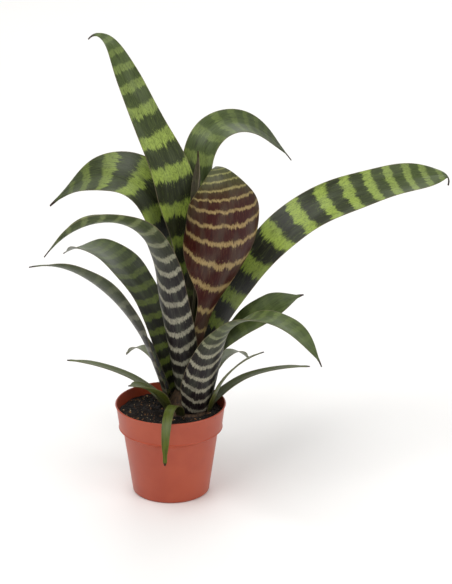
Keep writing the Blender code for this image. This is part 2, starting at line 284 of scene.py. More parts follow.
# %% The rosette's leaves
LEAVES = [
    Leaf("leaf_heart", 0, 118, 190, (1, 3, 4, 3, 0, -3), (8, 9, 9, 9, 8, 7), (0.3, 0.6), hollow=5.6,
         point=2.2),
    Leaf("leaf_tall", 1, -132, 314, (2, 3, 3, 3, 3, 12, 33, 33, 34, 44, 140),
         (12, 12, 13, 15, 18, 19, 16, 13, 10.5, 8.5, 7), (0.27, 0.5), roll=(0, 0, -8, -24, -30, -30),
         wave=0.5),
    Leaf("leaf_back_right", 2, 158, 304, (4, 5, 5, 5, 5, 6, 16, 74, 112, 132, 144),
         (13, 13, 15, 16, 17, 16, 15, 15, 14, 12, 9), (0.22, 0.5), swing=-36,
         roll=(0, 0, 0, 0, 0, 0, 6, 20, 32, 34, 30), wave=0.5),
    Leaf("leaf_cup", 3, 66, 206, (5, 8, 12, 18, 20, 14, 4, -6, -16, -54, -125),
         (12, 12, 13, 15, 18, 31, 43, 45, 33, 20, 11), (0.22, 0.44), hollow=29, swing=-56,
         roll=(0, 0, -16, -28, -18, -6)),
    Leaf("leaf_back_left", 4, -112, 262, (4, 5, 6, 7, 8, 12, 30, 76, 108, 128, 138),
         (19, 18, 16, 17, 20, 24, 27, 25, 18, 11, 6), (0.2, 0.45), hollow=40,
         roll=(0, 0, 0, -14, -34, -34), wave=0.7),
    Leaf("leaf_left_arch", 5, -36, 258, (8, 10, 15, 46, 88, 138), (19, 18.5, 16, 17, 17, 14),
         (0.24, 0.46), hollow=24, swing=-24, roll=(0, 0, 0, 16, 46), wave=0.6, point=3.5),
    Leaf("leaf_long_right", 6, 112, 308, (9, 28, 42, 71, 84, 96),
         (20, 20, 18, 17, 17, 18, 18, 17.5, 16.5, 15, 13), (0.12, 0.34), hollow=48,
         roll=(0, 0, 24, 34, 30, 22), wave=0.7, point=4, droop=100),
    Leaf("leaf_back_low_left", 8, -140, 200, (12, 30, 50, 72, 98, 126), (18, 17, 15, 18, 16, 9),
         (0.15, 0.4), hollow=26, wave=0.4),
    Leaf("leaf_low_right", 9, 92, 126, (10, 16, 38, 52, 60, 76), (15, 14, 12, 14, 12.5, 6), (0.2, 0.45),
         hollow=26, roll=(0, 0, 10, 28, 36, 36), wave=0.3, point=1.8),
    Leaf("leaf_back_low_right", 10, 158, 190, (14, 32, 54, 78, 104, 132), (17, 16, 14, 16, 14, 8),
         (0.15, 0.4), hollow=24, wave=0.4),
    Leaf("leaf_left_low", 11, -92, 176, (14, 20, 30, 46, 68, 104), (17, 16, 14, 16, 14, 8), (0.15, 0.4),
         hollow=26, roll=(0, 10, 30, 30, 10), wave=0.4),
    Leaf("leaf_low_front_right", 12, 32, 204, (10, 18, 42, 66, 108, 156), (21, 18, 12.5, 13, 12, 8),
         (0.18, 0.42), hollow=24, swing=30, wave=0.4),
    Leaf("leaf_foot_mid", 13, 66, 78, (14, 22, 34, 44, 54, 66), (7, 6, 5.5, 5, 4, 2), (0.15, 0.45),
         hollow=14),
    Leaf("leaf_foot_right", 13, 112, 90, (42, 60, 72, 78, 82, 88), (8, 6, 5.5, 4.5, 3.5, 2),
         (0.15, 0.45), hollow=14, swing=-32),
    Leaf("leaf_foot_front", 13, -17, 84, (24, 58, 96, 130, 150, 162), (5, 4.5, 4.2, 4, 3, 1.8),
         (0.15, 0.45), hollow=12, swing=16),
    Leaf("leaf_foot_short", 13, -52, 54, (22, 32, 46, 56, 66, 78), (7, 9, 11, 11, 8, 4), (0.15, 0.45),
         hollow=16),
    Leaf("leaf_foot_left", 13, -102, 90, (30, 54, 66, 72, 78, 88), (8, 6, 5.5, 5, 4, 2), (0.15, 0.45),
         hollow=14, swing=12),
    Leaf("leaf_foot_back_left", 13, -150, 100, (20, 54, 76, 94, 116, 136), (9, 7, 7, 6.5, 5, 3),
         (0.15, 0.45), hollow=14),
    Leaf("leaf_foot_back_right", 13, 150, 95, (20, 54, 78, 96, 118, 136), (9, 7, 7, 6.5, 5, 3),
         (0.15, 0.45), hollow=14),
]
print("leaves:", len(LEAVES))

# %% [markdown]
# ## The form of a leaf
#
# The leaf's middle line is drawn by walking up it in small steps, each in the direction of the lean there.
# Low down, the blade wraps round the stem's axis as a sheath does. Higher up it has its own hollow section.
# A soft blend between the two gives the throat, where the leaf leaves the tube. A curve with a bevel could
# give the upper part alone, but it can't wrap a sheath round another axis, and this is why the form is
# computed point by point.

# %% Plant sizes shared by all leaves
SOIL_LEVEL = 68 * MM
STEM_X, STEM_Y = 14 * MM, 7 * MM
STEM_FOOT_RADIUS = 19.6 * MM
STEM_TOP_RADIUS = 2.6 * MM
STEM_RISE = 30 * MM
INNER_RING = 3.7 * MM
RING_PITCH = 1.25 * MM
SEAT_GAP = 0.3 * MM
BLADE_THICKNESS = 0.9 * MM
FOOT_WIDTH = 0.75
EDGE_THIN = 0.28
TIP_HALF_WIDTH = 0.5 * MM
SPIKE_HALF_WIDTH = 1.7 * MM
SPIKE_SHARE = 0.035
TAPER_SHARE = 0.78
MIDRIB_STEPS = 400
print("innermost sheath ring in mm:", round(INNER_RING / MM, 2), "then one every", round(RING_PITCH / MM, 2))


# %% Smooth steps
def even_steps(values, share):
    """A smooth run through values that stand at even steps from 0 to 1, read at each share."""
    values = np.asarray(values, float)
    if len(values) == 1:
        return np.full_like(share, values[0])
    slopes = np.gradient(values)
    place = np.clip(share, 0, 1) * (len(values) - 1)
    low = np.minimum(place.astype(int), len(values) - 2)
    t = place - low
    a, b = values[low], values[low + 1]
    return (
        (2 * t**3 - 3 * t**2 + 1) * a
        + (t**3 - 2 * t**2 + t) * slopes[low]
        + (3 * t**2 - 2 * t**3) * b
        + (t**3 - t**2) * slopes[low + 1]
    )


def ease(start, end, share):
    """0 before start, 1 after end, and a smooth climb between."""
    t = np.clip((share - start) / (end - start), 0, 1)
    return t * t * (3 - 2 * t)


print("a quarter of the way through 0, 10, 0:", float(even_steps((0, 10, 0), np.array([0.25]))[0]))

# %% Width and foot of a leaf
def half_width(leaf, share):
    """Half the leaf's width along its length, closing to a short dry tip."""
    width = even_steps(leaf.widths, share) * (FOOT_WIDTH + (1 - FOOT_WIDTH) * ease(0, 0.15, share))
    past = np.clip((share - TAPER_SHARE) / (1 - SPIKE_SHARE / 2 - TAPER_SHARE), 0, 1)
    width = width * (1 - past**leaf.point) * MM
    spike = TIP_HALF_WIDTH + (SPIKE_HALF_WIDTH - TIP_HALF_WIDTH) * np.clip((1 - share) / SPIKE_SHARE, 0, 1)
    return np.maximum(width, spike)


def ring_radius(leaf):
    """Distance from the stem's axis to the middle of the leaf's foot."""
    return INNER_RING + leaf.ring * RING_PITCH


def foot_height(leaf):
    """Height at which the leaf's foot meets the stem's cone."""
    inside = ring_radius(leaf) - BLADE_THICKNESS / 2 - SEAT_GAP
    share = (STEM_FOOT_RADIUS - inside) / (STEM_FOOT_RADIUS - STEM_TOP_RADIUS)
    return SOIL_LEVEL + STEM_RISE * np.clip(share, 0.05, 1)


widest = max(LEAVES, key=lambda leaf: max(leaf.widths))
print("the widest leaf:", widest.name, "foot height in mm:", round(float(foot_height(widest)) / MM, 1))

# %% Middle line of a leaf
def heading(turn):
    """Unit vector away from the stem at this turn from the front, towards +X."""
    return np.stack([np.sin(turn), -np.cos(turn), np.zeros_like(turn)], -1)


def midrib(leaf, share):
    """Points on the leaf's middle line, measured from the stem's axis, with its lean and turn there."""
    steps = np.linspace(0, 1, MIDRIB_STEPS)
    lean = np.radians(even_steps(leaf.lean, steps) + leaf.droop * ease(1 - SPIKE_SHARE * 1.4, 1, steps))
    turn = np.radians(leaf.turn + leaf.swing * ease(leaf.free[0], 1.0, steps))
    along = heading(turn) * np.sin(lean)[:, None]
    along[:, 2] = np.cos(lean)
    stride = leaf.length * MM / (MIDRIB_STEPS - 1)
    run = np.vstack([np.zeros(3), np.cumsum((along[1:] + along[:-1]) / 2 * stride, axis=0)])
    start = heading(turn[0]) * ring_radius(leaf) + np.array([0, 0, foot_height(leaf)])
    line = start + run
    points = np.stack([np.interp(share, steps, line[:, k]) for k in range(3)], -1)
    return points, np.interp(share, steps, lean), np.interp(share, steps, turn)


tallest = max(LEAVES, key=lambda leaf: float(midrib(leaf, np.array([0.95]))[0][0, 2]))
print("the leaf that stands highest:", tallest.name)

# %% Surface of a leaf
def leaf_surface(leaf, share, across):
    """The leaf's middle surface: a row of points for each share and a column for each place across."""
    line, lean, turn = midrib(leaf, share)
    width = half_width(leaf, share)
    out = heading(turn)
    side = np.stack([np.cos(turn), np.sin(turn), np.zeros_like(turn)], -1)
    up = np.array([0.0, 0.0, 1.0])
    inward = np.sin(lean)[:, None] * up - np.cos(lean)[:, None] * out
    roll = np.radians(even_steps(leaf.roll, share))[:, None]
    rolled_side = np.cos(roll) * side + np.sin(roll) * inward
    rolled_in = np.cos(roll) * inward - np.sin(roll) * side

    from_axis = np.hypot(line[:, 0], line[:, 1])
    place = np.arctan2(line[:, 0], -line[:, 1])
    angle = place[:, None] + width[:, None] * across[None, :] / from_axis[:, None]
    round_stem = np.stack(
        [from_axis[:, None] * np.sin(angle), -from_axis[:, None] * np.cos(angle),
         np.repeat(line[:, 2:3], len(across), 1)], -1
    )

    hollow = leaf.hollow * MM
    bend = width[:, None] * across[None, :] / hollow
    wave = leaf.wave * MM * ease(leaf.free[0], leaf.free[1], share)[:, None]
    wave = wave * np.sin(9 * np.pi * share[:, None] + 2.4 * across[None, :]) * np.abs(across[None, :]) ** 3
    own = (
        line[:, None, :]
        + (hollow * np.sin(bend))[..., None] * rolled_side[:, None, :]
        + (hollow * (1 - np.cos(bend)) + wave)[..., None] * rolled_in[:, None, :]
    )
    loose = ease(leaf.free[0], leaf.free[1], share)[:, None, None]
    grid = round_stem * (1 - loose) + own * loose
    return grid + np.array([STEM_X, STEM_Y, 0.0])


def surface_normals(grid):
    """Unit normals of a grid of points, on the side that faces the stem."""
    along = np.gradient(grid, axis=0)
    over = np.gradient(grid, axis=1)
    normal = np.cross(along, over)
    return normal / np.linalg.norm(normal, axis=-1, keepdims=True)


rough_grid = leaf_surface(tallest, np.linspace(0, 1, 5), np.linspace(-1, 1, 3))
print("a coarse grid of that leaf, rows, columns and coordinates:", rough_grid.shape)

# %% [markdown]
# ## How a leaf is marked
#
# Every leaf of the real plant has cross bands, clear and wide apart on the tall leaves, close and ragged on
# the sheaths, and almost gone on the old green leaves at the foot. The marks could be painted leaf by leaf.
# Here each leaf gets a short list of band distances, strengths and greenness from foot to tip, because
# that is how the real leaves differ from each other, and a list is easy to compare with the photograph.
# On the back left leaf the greenness is held low, partly as painted shade that keeps the leaf dark.

# %% Markings of a leaf
@dataclass
class Markings:
    """How one leaf is marked. All lists stand at even steps from foot to tip."""

    pitch: tuple  # distance between bands in mm
    strength: tuple  # how clearly the bands show
    greening: tuple  # from dark ground to green
    start: float = 0.0  # shifts the first band, in bands
    bow: tuple = (0.1, 0.05)  # how far the bands rise at the edges, in bands


# %% Markings of each leaf
TALL = Markings(
    pitch=(14, 16, 18, 22, 27, 30, 28, 25, 18, 12, 9),
    strength=(0.5, 0.8, 1, 1, 1, 1, 1, 0.85, 0.6, 0.35, 0),
    greening=(0, 0, 0.05, 0.1, 0.15, 0.2, 0.4, 0.6, 0.8, 0.95, 1),
    start=0.1,
)
BACK_RIGHT = Markings(
    pitch=(14, 16, 18, 20, 22, 24, 22, 16, 12, 10, 8),
    strength=(0.6, 0.8, 1, 1, 1, 0.8, 0.5, 0.3, 0.2, 0.1, 0),
    greening=(0, 0, 0.05, 0.1, 0.3, 0.5, 0.75, 0.9, 0.8, 0.6, 0.5),
)
LEFT_ARCH = Markings(
    pitch=(11, 12.5, 13.5, 14, 15, 16, 18, 17, 14, 11, 9),
    strength=(1, 1, 1, 1, 1, 0.85, 0.6, 0.5, 0.5, 0.4, 0),
    greening=(0, 0, 0, 0, 0.02, 0.2, 0.6, 0.95, 1, 1, 1),
    start=0.3, bow=(0.9, 0.9, 0.6, 0.2, 0.05, 0.05),
)
# The greening stays low on this leaf, partly as painted shade that keeps it dark.
BACK_LEFT_BANDS_AND_SHADE = Markings(
    pitch=(13, 15, 18, 20, 24, 30, 30, 26, 20, 14, 10),
    strength=(0.7, 0.8, 1, 1, 1, 1, 1, 0.8, 0.5, 0.2, 0),
    greening=(0, 0, 0, 0, 0, 0.1, 0.2, 0.35, 0.5, 0.6, 0.7),
)
LONG = Markings(
    pitch=(14, 17, 24, 30, 31, 25, 24, 20, 17, 14, 11),
    strength=(0.7, 0.9, 1, 1, 1, 1, 1, 1, 0.9, 0.7, 0.2),
    greening=(0, 0, 0, 0, 0.05, 0.1, 0.25, 0.4, 0.65, 0.9, 1),
    start=0.25,
)
CUPPED = Markings(
    pitch=(13, 14, 16, 19, 21, 22, 18, 13, 9, 6, 5),
    strength=(1, 1, 1, 1, 1, 1, 1, 1, 0.9, 0.7, 0.4),
    greening=(0, 0, 0, 0, 0, 0, 0, 0, 0.15, 0.9, 1),
    start=0.1, bow=(0.3, 0.3, 0.3, 0.45, 0.6, 0.3),
)
LOW_RIGHT = Markings(
    pitch=(10, 11, 12, 13, 14, 15, 14, 13, 12, 10, 9),
    strength=(0.9, 0.9, 0.8, 0.5, 0.35, 0.25, 0.2, 0.15, 0.1, 0.05, 0),
    greening=(0, 0, 0.1, 0.5, 0.8, 0.95, 1, 1, 1, 1, 1),
)
LOW_FRONT = Markings(
    pitch=(9.5, 11, 12, 12.5, 13, 13, 13, 12, 11, 10, 9),
    strength=(0.9, 1, 1, 1, 0.7, 0.4, 0.3, 0.25, 0.15, 0.1, 0),
    greening=(0, 0, 0, 0.1, 0.55, 0.9, 1, 1, 1, 1, 1),
    start=0.45, bow=(1.1, 1.0, 0.5, 0.1, 0.05, 0.05),
)
LOW_LEFT = Markings(
    pitch=(10, 11, 12, 13, 14, 14, 14, 13, 12, 10, 9),
    strength=(0.5, 0.55, 0.5, 0.4, 0.35, 0.3, 0.2, 0.15, 0.1, 0.05, 0),
    greening=(0, 0, 0, 0.05, 0.15, 0.3, 0.5, 0.65, 0.75, 0.8, 0.8),
)
ROLLED = Markings((18, 20, 20, 18, 12, 8), (0.5, 0.5, 0.4, 0.3, 0.1, 0), (0, 0, 0.05, 0.05, 0, 0))
PLAIN = Markings((10, 10), (0.1, 0.0), (0.5, 0.9, 1, 1, 1, 1))
MARKINGS = {
    "leaf_heart": ROLLED,
    "leaf_tall": TALL,
    "leaf_back_right": BACK_RIGHT,
    "leaf_cup": CUPPED,
    "leaf_left_arch": LEFT_ARCH,
    "leaf_back_left": BACK_LEFT_BANDS_AND_SHADE,
    "leaf_long_right": LONG,
    "leaf_low_right": LOW_RIGHT,
    "leaf_low_front_right": LOW_FRONT,
    "leaf_left_low": LOW_LEFT,
    "leaf_back_low_left": LOW_LEFT,
    "leaf_back_low_right": LOW_LEFT,
}
print("leaves with markings of their own:", len(MARKINGS))

# %% [markdown]
# ## Fine leaf meshes
#
# A real blade is under a millimetre thick, has a shallow crease along its middle and thins out towards its
# edges. A flat sheet with a Solidify modifier could give it one even thickness. Here a grid of points on
# the middle surface is lifted to both sides by a thickness that changes across the leaf, and closed round
# its edge, so that every leaf is one solid skin.

# %% Points and faces of a blade
FINE_STATIONS = 190
FINE_STRIPS = 26
SHORT_LEAF = 130
TIP_CROWDING = 0.07
EDGE_CROWDING = 0.86
CREASE_DEPTH = 0.22 * MM
CREASE_HALF_WIDTH = 0.10
UNDER_CREASE = 0.2


def fine_places(leaf):
    """Shares along the leaf, closer together near the tip, and places across it, closer at the edges."""
    parts = 2 if leaf.length < SHORT_LEAF else 1
    even = np.linspace(0, 1, FINE_STATIONS // parts)
    across = np.sin(np.linspace(-1, 1, FINE_STRIPS // parts + 1) * np.pi / 2 * EDGE_CROWDING)
    return even + TIP_CROWDING * np.sin(np.pi * even), across / across.max()


def blade_points(leaf, share, across):
    """The points of both faces, creased along the middle and thin at the edges."""
    grid = leaf_surface(leaf, share, across)
    crease = CREASE_DEPTH * np.exp(-((across / CREASE_HALF_WIDTH) ** 2))[None, :]
    crease = (crease * ease(0.15, 0.5, share)[:, None])[..., None]
    normal = surface_normals(grid)
    thick = BLADE_THICKNESS * (1 - EDGE_THIN * across**2) * np.sqrt(np.clip(1.06 - across**6, 0.35, 1))
    half = (thick / 2)[None, :, None]
    top = grid + normal * (half - crease)
    under = grid - normal * (half - UNDER_CREASE * crease)
    return np.vstack([top.reshape(-1, 3), under.reshape(-1, 3)])


def blade_faces(rows, columns):
    """The faces of both sides of a grid, and the narrow ones that close it all round."""
    index = np.arange(rows * columns).reshape(rows, columns)
    a, b, c, d = index[:-1, :-1], index[:-1, 1:], index[1:, :-1], index[1:, 1:]
    back = rows * columns
    faces = [np.stack([a, c, d, b], -1).reshape(-1, 4), back + np.stack([a, b, d, c], -1).reshape(-1, 4)]
    borders = (
        (index[:-1, 0], index[1:, 0], 1), (index[:-1, -1], index[1:, -1], -1),
        (index[0, :-1], index[0, 1:], 1), (index[-1, :-1], index[-1, 1:], -1),
    )
    for low, high, direction in borders:
        faces.append(np.stack([low, low + back, high + back, high], -1)[:, ::direction])
    return np.vstack(faces)


print("faces of a long leaf:", len(blade_faces(FINE_STATIONS, FINE_STRIPS + 1)))

# %% [markdown]
# Beside its place, every point keeps what the finish needs to know: how far along and across the leaf it is,
# which face it is on, where the bands fall and how strong they are. Unwrapping the leaf for a picture could
# carry the same facts. Attributes are simpler, because the numbers are at hand when the points are made,
# and a pattern that reads them follows the leaf round every bend.

# %% Numbers stored on the leaf
LEAF_PATTERN_SHIFT = 1.7


def write_attribute(mesh, name, values):
    """Stores one number for each point of the mesh."""
    layer = mesh.attributes.new(name, "FLOAT", "POINT")
    layer.data.foreach_set("value", np.asarray(values, np.float32))


def store_markings(mesh, leaf, number, share, across):
    """Writes the leaf's own directions and its bands on both faces of the mesh."""
    marks = MARKINGS.get(leaf.name, PLAIN)
    rows, columns = len(share), len(across)

    def every_column(values):
        return np.repeat(values[:, None], columns, 1)

    pitch = even_steps(marks.pitch, share)
    bands = np.concatenate([[0], np.cumsum(np.diff(share) * leaf.length * 2 / (pitch[1:] + pitch[:-1]))])
    both = {
        "along": every_column(share * leaf.length),
        "over": half_width(leaf, share)[:, None] / MM * across[None, :],
        "across": np.repeat(across[None, :], rows, 0),
        "share": every_column(share),
        "phase": marks.start + bands[:, None] - even_steps(marks.bow, share)[:, None] * across[None, :] ** 2,
        "strength": every_column(even_steps(marks.strength, share)),
        "greening": every_column(even_steps(marks.greening, share)),
    }
    for key, values in both.items():
        write_attribute(mesh, key, np.concatenate([values.ravel(), values.ravel()]))
    write_attribute(mesh, "under", np.concatenate([np.zeros(rows * columns), np.ones(rows * columns)]))
    write_attribute(mesh, "number", np.full(2 * rows * columns, number * LEAF_PATTERN_SHIFT))


# %% One fine leaf
def fine_leaf(leaf, number, finish):
    """One leaf as a closed thin mesh with its markings stored on its points."""
    share, across = fine_places(leaf)
    mesh = bpy.data.meshes.new(leaf.name + "_blade")
    faces = blade_faces(len(share), len(across))
    mesh.from_pydata(blade_points(leaf, share, across).tolist(), [], faces.tolist())
    shaped = bmesh.new()
    shaped.from_mesh(mesh)
    bmesh.ops.recalc_face_normals(shaped, faces=shaped.faces)
    shaped.to_mesh(mesh)
    shaped.free()
    mesh.shade_smooth()
    store_markings(mesh, leaf, number, share, across)
    mesh.materials.append(finish)
    return add_object(leaf.name + "_blade", mesh)


# %% [markdown]
# ## The leaf finish
#
# On the real leaf the bands are ragged, because each one is made of short strokes that run along the veins.
# A painted picture could show this, but it would blur close up and repeat from leaf to leaf. The recipe is
# made of noise in the leaf's own directions instead. Noise that changes fast across the leaf and slowly
# along it gives the strokes, and slower noises shift whole bands and fade them in places.

# %% Leaf skin helper
class LeafSkin(Recipe):
    """A recipe that reads the numbers stored on a leaf and has the noises that follow its veins."""

    def __init__(self, name):
        super().__init__(name)
        self.along = self.attribute("along")
        self.over = self.attribute("over")
        self.share = self.attribute("share")
        self.number = self.attribute("number")
        self.greening = self.attribute("greening")
        self.outside = self.attribute("under")
        self.edge = self.math("ABSOLUTE", self.attribute("across"))
        self.strokes = self.vein_noise(1.15, 0.10, 4.0, 0.68)
        self.patches = self.vein_noise(0.17, 0.06, 3.0, 0.5)
        self.specks = self.vein_noise(1.6, 0.50, 3.0, 0.62)
        self.clouds = self.vein_noise(0.09, 0.03, 2.0, 0.5)

    def vein_noise(self, per_mm_across, per_mm_along, detail, roughness):
        """Noise with its own scale across and along the leaf, different on every leaf."""
        place = self.join(
            self.times(self.over, per_mm_across), self.times(self.along, per_mm_along), self.number
        )
        return self.noise(place, 1.0, detail, roughness)

    def centred(self, noise):
        return self.math("SUBTRACT", noise, 0.5)


@dataclass
class Skin:
    """Colours of one kind of leaf. The upper face looks at the stem and the outer face looks away."""

    upper: str
    outer: str
    upper_band: str
    outer_band: str
    green: str
    green_band: str
    upper_share: float  # half the upper face's band width, as a share of the pitch
    outer_share: float
    ragged: float  # how far the strokes push the edge of a band, in bands
    drift: float  # how far a whole band wanders, in bands
    roughness: float


# %% [markdown]
# A band covers a point where the stored count of bands, pushed by the strokes, is near a half. Each band is
# worn through in small specks, and a few stray flecks lie just outside it, as on the real leaf.

# %% Cross bands
BAND_EDGE = (-0.05, 0.07)
STRAY_EDGE = (-0.22, -0.02)
STRAY_STRENGTH = 0.7
WORN_STRENGTH = 0.42


def band_cover(skin, look):
    """How much of a band covers each point, from 0 to 1."""
    push = skin.times(skin.centred(skin.strokes), look.ragged)
    drift = skin.times(skin.centred(skin.patches), look.drift)
    phase = skin.math("ADD", skin.math("ADD", skin.attribute("phase"), push), drift)
    off_band = skin.math("ABSOLUTE", skin.centred(skin.math("FRACT", phase)))
    half = skin.between(skin.outside, 0.0, 1.0, look.upper_share, look.outer_share)
    inside = skin.math("SUBTRACT", half, off_band)
    strength = skin.times(skin.attribute("strength"), skin.between(skin.patches, 0.22, 0.48, 0.5, 1.0))
    worn = skin.between(skin.specks, 0.34, 0.50, WORN_STRENGTH, 1.0)
    band = skin.times(skin.between(inside, *BAND_EDGE), strength)
    band = skin.math("MULTIPLY", band, worn, clamp=True)
    stray = skin.times(skin.between(skin.specks, 0.58, 0.68), skin.between(inside, *STRAY_EDGE))
    return skin.math("MAXIMUM", band, skin.times(stray, strength, STRAY_STRENGTH))


# %% [markdown]
# The upper face has a dark ground with lime bands, and the outer face of the sheaths is near black or maroon
# with cream bands. Both turn green towards the tip. The margin is dry and brown, a faint pale bloom lies on
# the skin in clouds, and the very tip is dead. One colour for the whole leaf would need a single node, but
# the two faces and the worn places make the plant look alive.

# %% Leaf colours
GREEN_ON_OUTSIDE = 0.8
VEIN_SHADOW = rgb("14100f")
BLOOM = rgb("a8b298")
BLOOM_STRENGTH = 0.06
DRY_MARGIN = rgb("77684f")
MARGIN_FROM_TO = (0.955, 0.995)
MARGIN_STRENGTH = 0.5
DEAD_TIP = rgb("2e1d12")
TIP_FROM_TO = (0.966, 0.982)


def two_faced(skin, upper, outer, green):
    """A colour that turns green along the leaf, with one ground on each face."""
    outer_green = skin.times(skin.greening, GREEN_ON_OUTSIDE)
    return skin.mix(
        skin.outside, skin.mix(skin.greening, rgb(upper), rgb(green)),
        skin.mix(outer_green, rgb(outer), rgb(green))
    )


def leaf_colour(skin, look):
    """Ground and bands with their strokes, then bloom, margin and tip."""
    ground = two_faced(skin, look.upper, look.outer, look.green)
    stripe = two_faced(skin, look.upper_band, look.outer_band, look.green_band)
    ground = skin.mix(skin.times(skin.between(skin.strokes, 0.50, 0.74), 0.12), ground, stripe)
    ground = skin.mix(skin.times(skin.between(skin.strokes, 0.52, 0.30), 0.5), ground, VEIN_SHADOW)
    stripe = skin.mix(skin.times(skin.between(skin.strokes, 0.55, 0.30), 0.45), stripe, ground)
    colour = skin.mix(band_cover(skin, look), ground, stripe)
    colour = skin.mix(skin.times(skin.between(skin.clouds, 0.42, 0.68), BLOOM_STRENGTH), colour, BLOOM)
    margin = skin.times(skin.between(skin.edge, *MARGIN_FROM_TO), MARGIN_STRENGTH)
    colour = skin.mix(margin, colour, DRY_MARGIN)
    return skin.mix(skin.between(skin.share, *TIP_FROM_TO), colour, DEAD_TIP)


# %% [markdown]
# The skin is leathery and satin, with fine parallel veins about a millimetre apart. They are too low to
# change the leaf's outline, so bump is enough: a sine wave across the leaf that the strokes make uneven.

# %% Leaf relief, gloss and kinds of skin
VEIN_TURNS = 6.2
VEIN_HEIGHT = 0.22
STROKE_HEIGHT = 0.7


def leaf_finish(name, look):
    """A leaf skin with ragged cross bands, veins, a worn margin and a dry tip."""
    skin = LeafSkin(name)
    colour = leaf_colour(skin, look)
    lines = skin.math("ADD", skin.times(skin.over, VEIN_TURNS), skin.times(skin.strokes, 4.0))
    veins = skin.times(skin.math("SINE", lines), VEIN_HEIGHT)
    height = skin.math("ADD", veins, skin.times(skin.strokes, STROKE_HEIGHT))
    gloss = skin.between(skin.strokes, 0.2, 0.8, look.roughness - 0.05, look.roughness + 0.09)
    skin.shader.inputs["Specular IOR Level"].default_value = 0.21
    skin.shader.inputs["Sheen Weight"].default_value = 0.015
    skin.shader.inputs["Sheen Roughness"].default_value = 0.4
    return skin.finish(Base_Color=colour, Roughness=gloss, Normal=skin.bump(height, 0.35, 0.25 * MM))


banded_skin = leaf_finish("banded_leaf_skin", Skin(
    upper="1c1a15", outer="140c10", upper_band="95a945", outer_band="9d9986",
    green="46532a", green_band="8a9a54", upper_share=0.215, outer_share=0.17,
    ragged=0.46, drift=0.42, roughness=0.36,
))
cup_skin = leaf_finish("maroon_cup_skin", Skin(
    upper="2b1d19", outer="390f0d", upper_band="7f9930", outer_band="a38b5c",
    green="454d28", green_band="8f9456", upper_share=0.18, outer_share=0.13,
    ragged=0.50, drift=0.60, roughness=0.40,
))
green_skin = leaf_finish("green_leaf_skin", Skin(
    upper="2a2618", outer="26201a", upper_band="5f7a30", outer_band="66703f",
    green="4f5919", green_band="707f34", upper_share=0.15, outer_share=0.15,
    ragged=0.5, drift=0.34, roughness=0.34,
))
# A paler skin for the heart leaf in the middle, lighter than the other banded leaves.
pale_heart_skin = leaf_finish("young_leaf_skin", Skin(
    upper="4a4436", outer="6a6254", upper_band="8a9a54", outer_band="8f8874",
    green="5a5f40", green_band="8a9464", upper_share=0.15, outer_share=0.15,
    ragged=0.5, drift=0.34, roughness=0.42,
))

# %% [markdown]
# ## Nineteen leaves
#
# Every leaf is made by the same call and takes the place of its imported solid. Most have the banded skin,
# the egg-shaped leaf is maroon, the youngest one in the middle is given a paler skin, and the old ones at
# the foot are plain green.

# %% Make and seat every leaf
blades = []
for number, leaf in enumerate(LEAVES):
    if leaf.name == "leaf_cup":
        skin, slot = cup_skin, "maroon_leaf"
    elif leaf.name == "leaf_heart":
        skin, slot = pale_heart_skin, "banded_leaf"
    elif leaf.name.startswith("leaf_foot"):
        skin, slot = green_skin, "green_leaf"
    else:
        skin, slot = banded_skin, "banded_leaf"
    blade = fine_leaf(leaf, number, skin)
    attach(blade, "root")
    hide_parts(leaf.name)
    blades.append(blade)
print("leaf triangles:", sum(2 * len(b.data.polygons) for b in blades))

# %% [markdown]
# ## The pot
#
# A nursery pot is a thin moulded shell: a plain collar that hides the rim of the tapering body, a foot ring
# and drain holes. It could be extruded by hand, ring by ring. Its whole section is known from the packed
# pot, so Geometry Nodes turn that section round the axis instead, and the number of sides stays a free
# choice.

# %% Pot sizes
POT_HEIGHT = 76 * MM
POT_FOOT_RADIUS = 30 * MM
POT_SHOULDER_RADIUS = 38.6 * MM
POT_COLLAR_RADIUS = 41.8 * MM
POT_RIM_RADIUS = 45 * MM
COLLAR_HEIGHT = 21 * MM
POT_WALL = 1.3 * MM
POT_FLOOR = 2.6 * MM
DRAIN_HOLES = 6
DRAIN_RING_RADIUS = 17.5 * MM
DRAIN_HOLE_RADIUS = 3.2 * MM
DRAIN_TURN = 0.31
POT_SIDES = 180


# %% Pot section
def collar_foot():
    """Height at which the pot's collar begins."""
    return POT_HEIGHT - COLLAR_HEIGHT


def pot_profile():
    """The pot's section: underside, wall, collar and rim outside, then down the inside to the floor."""
    boss = 12 * MM
    recess = 1.2 * MM
    step = 1.2 * MM
    lip = 1.6 * MM
    bead = 0.5 * MM
    shoulder = collar_foot()
    return [
        (0, 0),
        (boss, 0),
        (boss + recess, recess),
        (POT_FOOT_RADIUS - 8 * MM, recess),
        (POT_FOOT_RADIUS - 7 * MM, 0),
        (POT_FOOT_RADIUS, 0),
        (POT_FOOT_RADIUS + step, step),
        (POT_SHOULDER_RADIUS, shoulder - 2 * step),
        (POT_COLLAR_RADIUS - bead, shoulder),
        (POT_COLLAR_RADIUS + bead, shoulder + bead),
        (POT_COLLAR_RADIUS, shoulder + 3 * bead),
        (POT_RIM_RADIUS - lip / 2, POT_HEIGHT - lip),
        (POT_RIM_RADIUS, POT_HEIGHT - lip / 2),
        (POT_RIM_RADIUS - bead, POT_HEIGHT),
        (POT_RIM_RADIUS - POT_WALL, POT_HEIGHT - bead),
        (POT_COLLAR_RADIUS - POT_WALL, shoulder + step),
        (POT_SHOULDER_RADIUS - POT_WALL, shoulder - step),
        (POT_FOOT_RADIUS + step - POT_WALL, POT_FLOOR + step),
        (POT_FOOT_RADIUS - POT_WALL, POT_FLOOR),
        (0, POT_FLOOR),
    ]


print("points in the pot's section:", len(pot_profile()))

# %% [markdown]
# Terracotta-coloured plastic is satin, a little uneven in tone and finely scuffed. A few dark specks of mix
# cling to the rim and the collar. A flat colour would look like clay or paint, and the specks would be
# lost. The finish is made first, because the tree below puts it on the shell.

# %% Pot finish
RIM_DIRT_FROM_TO = (0.062, 0.0755)
RIM_DIRT_STRENGTH = 0.5

